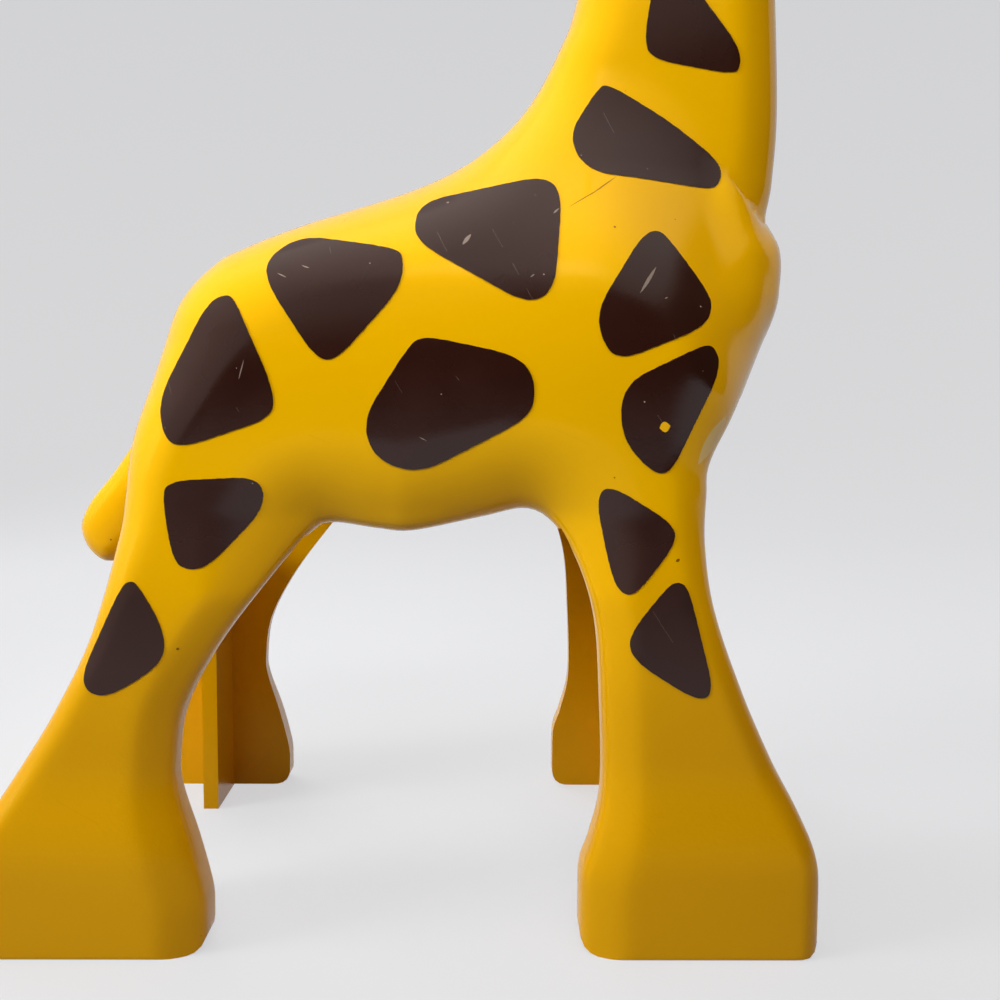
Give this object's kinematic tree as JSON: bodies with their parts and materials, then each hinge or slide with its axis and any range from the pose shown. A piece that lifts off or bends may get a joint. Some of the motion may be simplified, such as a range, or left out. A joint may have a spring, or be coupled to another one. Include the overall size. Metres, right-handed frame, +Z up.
{
  "type": "toy giraffe figure",
  "caption": "Moulded plastic toy giraffe standing on flat feet that straddle building studs, printed with dark patches on both sides.",
  "frame": {"origin": "under the middle of the whole figure's bounding box, on the plane of the four soles", "axes": "+X forward towards the head, +Y to the figure's left, +Z up"},
  "size_m": [0.0564, 0.0318, 0.0848],
  "materials": {
    "yellow_abs": "glossy injection-moulded ABS, worn to satin on the legs",
    "brown_abs": "glossy injection-moulded ABS",
    "brown_print": "pad-printed ink, semi-gloss",
    "black_print": "pad-printed ink, glossy",
    "white_print": "pad-printed ink, glossy"
  },
  "bodies": {
    "root": {"right_shell": "yellow_abs", "right_ossicone": "brown_abs", "right_patch_neck_base": "brown_print", "right_patch_neck_low": "brown_print", "right_patch_withers": "brown_print", "right_patch_loin": "brown_print", "right_patch_rump": "brown_print", "right_patch_flank": "brown_print", "right_patch_shoulder": "brown_print", "right_patch_chest": "brown_print", "right_patch_foreleg_upper": "brown_print", "right_patch_foreleg_lower": "brown_print", "right_patch_thigh": "brown_print", "right_patch_shank": "brown_print", "right_patch_neck_mid_front": "brown_print", "right_patch_neck_mid_back": "brown_print", "right_patch_neck_high_front": "brown_print", "right_patch_neck_high_back": "brown_print", "right_eye": "black_print", "right_eye_glint": "white_print", "right_nostril": "brown_print", "left_shell": "yellow_abs", "left_ossicone": "brown_abs", "left_patch_neck_base": "brown_print", "left_patch_neck_low": "brown_print", "left_patch_withers": "brown_print", "left_patch_loin": "brown_print", "left_patch_rump": "brown_print", "left_patch_flank": "brown_print", "left_patch_shoulder": "brown_print", "left_patch_chest": "brown_print", "left_patch_foreleg_upper": "brown_print", "left_patch_foreleg_lower": "brown_print", "left_patch_thigh": "brown_print", "left_patch_shank": "brown_print", "left_patch_neck_mid_front": "brown_print", "left_patch_neck_mid_back": "brown_print", "left_patch_neck_high_front": "brown_print", "left_patch_neck_high_back": "brown_print", "left_eye": "black_print", "left_eye_glint": "white_print", "left_nostril": "brown_print", "tail": "yellow_abs"}
  },
  "joints": []
}
